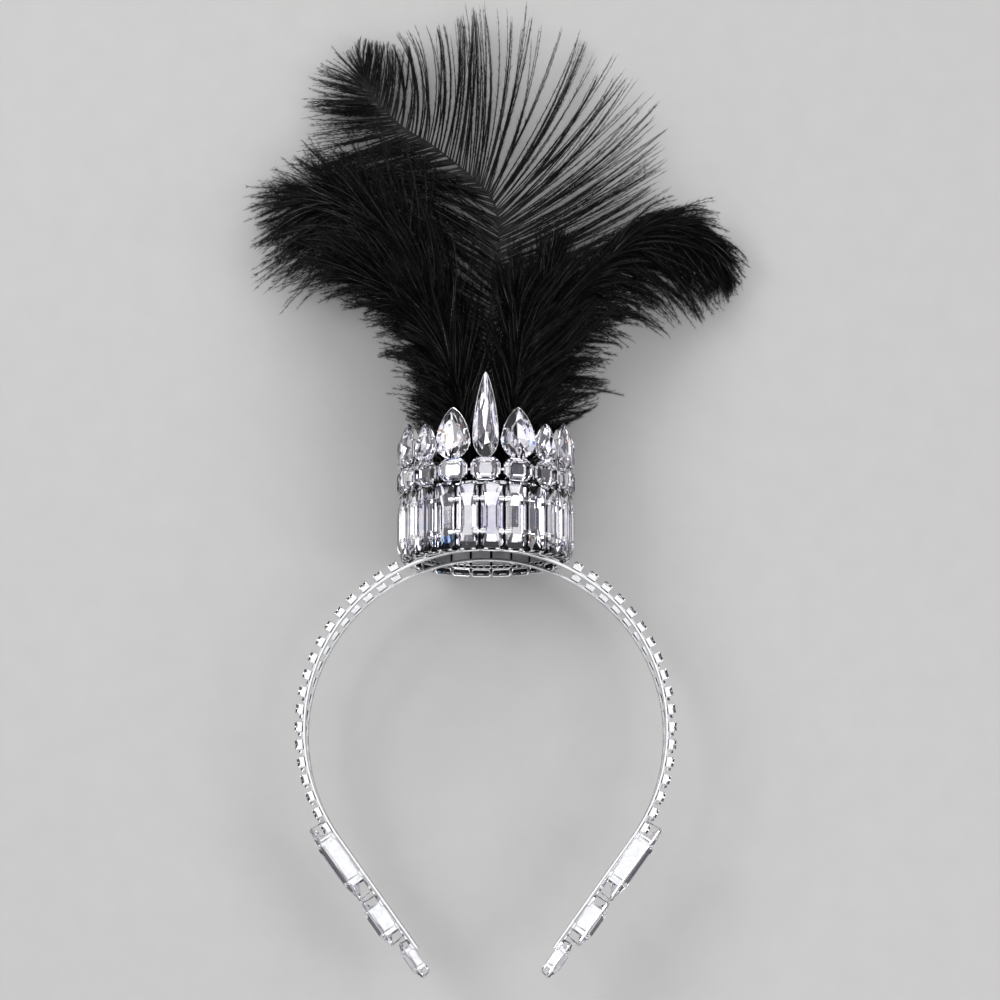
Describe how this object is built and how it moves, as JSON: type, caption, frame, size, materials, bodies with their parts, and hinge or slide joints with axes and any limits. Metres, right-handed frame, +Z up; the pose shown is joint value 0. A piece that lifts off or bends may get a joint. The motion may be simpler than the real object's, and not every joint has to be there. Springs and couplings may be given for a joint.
{
  "type": "feather crown headband",
  "caption": "Silver headband of thin parallel strips with a closed round crystal crown on top and a black feather plume rising from it, worn across the head.",
  "frame": {"origin": "middle of the footprint's box, on the surface that the crown's back lies on", "axes": "+Y from the band's tips to the plume, +Z up from the surface to the headpiece's front, +X to its right as seen from the front"},
  "size_m": [0.1902, 0.3646, 0.066],
  "materials": {
    "silver": "bright plated metal",
    "crystal": "clear cut glass with a mirrored back",
    "plume": "dyed black feather with a soft sheen",
    "felt": "matt black felt"
  },
  "bodies": {
    "root": {"band_front": "silver", "band_back": "silver", "left_end_setting": "silver", "right_end_setting": "silver", "crown_frame": "silver", "left_end_stone_1": "crystal", "left_end_stone_2": "crystal", "left_end_stone_3": "crystal", "right_end_stone_1": "crystal", "right_end_stone_2": "crystal", "right_end_stone_3": "crystal", "octagon_row": "crystal", "baguette_01": "crystal", "baguette_02": "crystal", "baguette_03": "crystal", "baguette_04": "crystal", "baguette_05": "crystal", "baguette_06": "crystal", "baguette_07": "crystal", "baguette_08": "crystal", "baguette_09": "crystal", "baguette_10": "crystal", "baguette_11": "crystal", "baguette_12": "crystal", "baguette_13": "crystal", "baguette_14": "crystal", "baguette_15": "crystal", "baguette_16": "crystal", "baguette_17": "crystal", "baguette_18": "crystal", "baguette_19": "crystal", "baguette_20": "crystal", "baguette_21": "crystal", "baguette_22": "crystal", "point_01": "crystal", "point_02": "crystal", "point_03": "crystal", "point_04": "crystal", "point_05": "crystal", "point_06": "crystal", "point_07": "crystal", "point_08": "crystal", "point_09": "crystal", "point_10": "crystal", "point_11": "crystal", "point_12": "crystal", "point_13": "crystal", "point_14": "crystal", "point_15": "crystal", "point_16": "crystal", "plume_base": "felt", "feather_back": "plume", "feather_left": "plume", "feather_right": "plume", "feather_mid_left": "plume", "feather_mid_right": "plume", "feather_front_left": "plume", "feather_front_right": "plume"}
  },
  "joints": []
}
